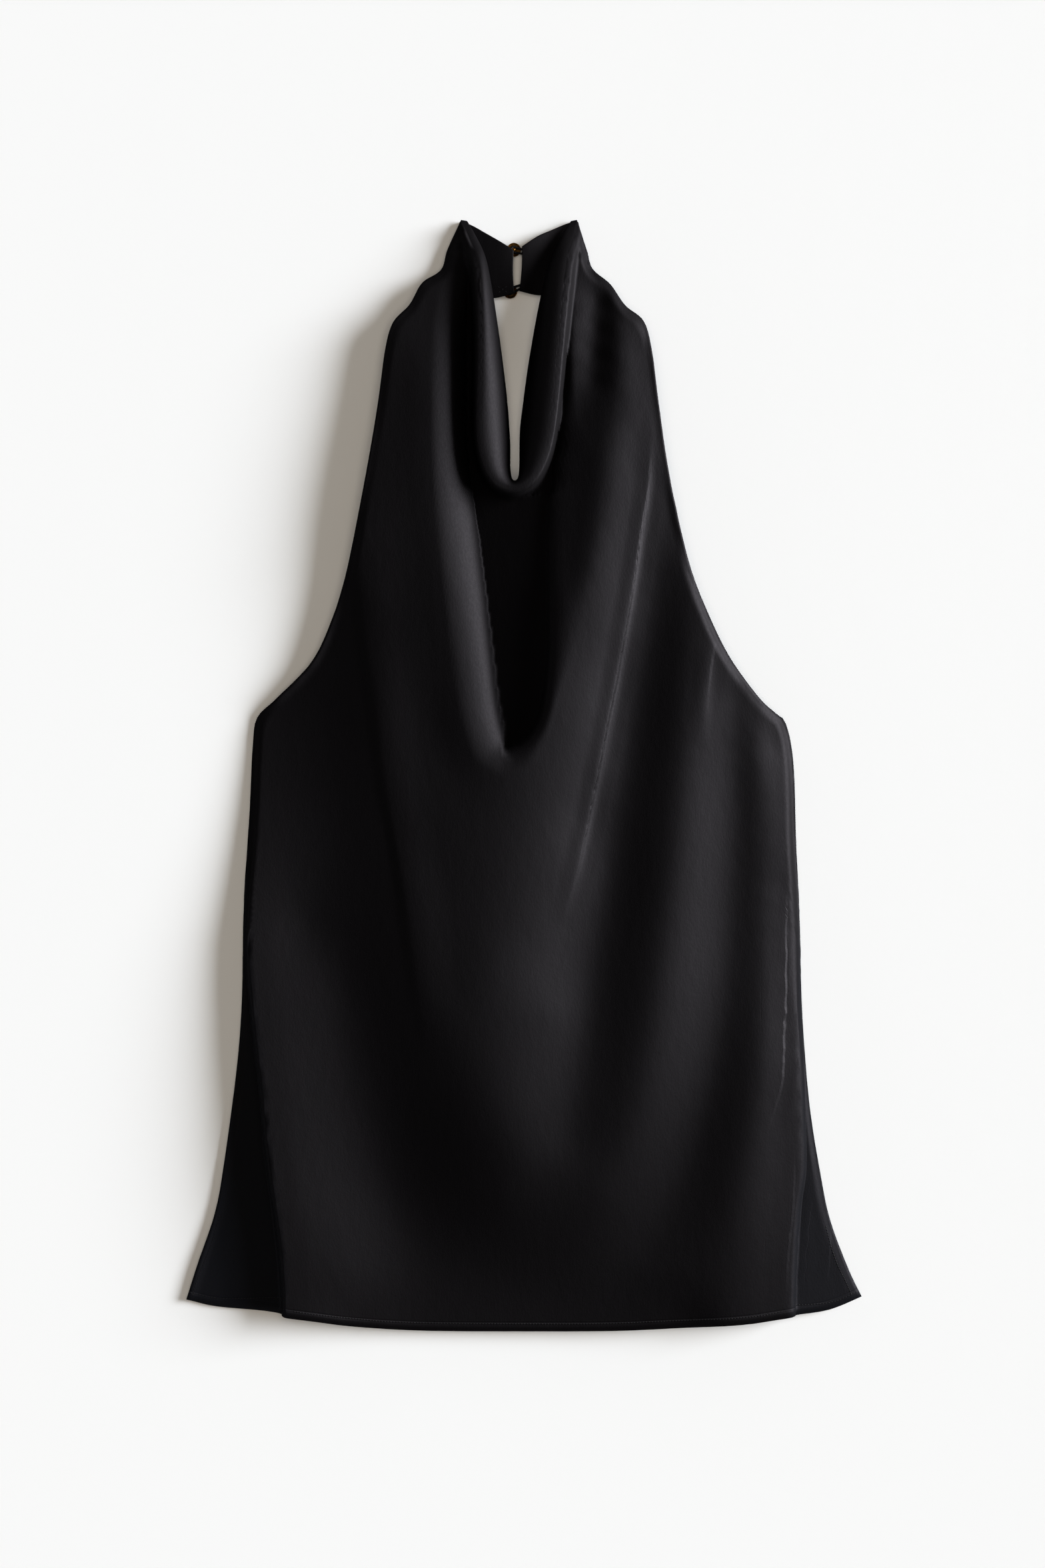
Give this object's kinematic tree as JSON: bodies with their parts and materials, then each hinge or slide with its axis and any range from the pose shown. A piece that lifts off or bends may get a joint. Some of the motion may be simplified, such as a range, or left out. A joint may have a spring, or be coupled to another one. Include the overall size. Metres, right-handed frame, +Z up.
{
  "type": "halter neck top",
  "caption": "Black satin halter neck top lying flat, with a deep draped cowl front, a low back and a neckband that buttons at the centre back.",
  "frame": {"origin": "on the floor, under the middle of the whole top as it lies", "axes": "+Y from the hem to the neck, +X to the right of the top as seen from above, +Z up from the floor through the back and the front"},
  "size_m": [0.4556, 0.7492, 0.0354],
  "materials": {
    "satin": "black satin with a soft sheen, smooth side out",
    "gilt": "polished gilt",
    "cord": "black satin-covered cord"
  },
  "bodies": {
    "root": {"front": "satin", "back": "satin", "neckband_left": "satin", "neckband_right": "satin", "button_upper": "gilt", "button_lower": "gilt", "loop_upper": "cord", "loop_lower": "cord"}
  },
  "joints": []
}
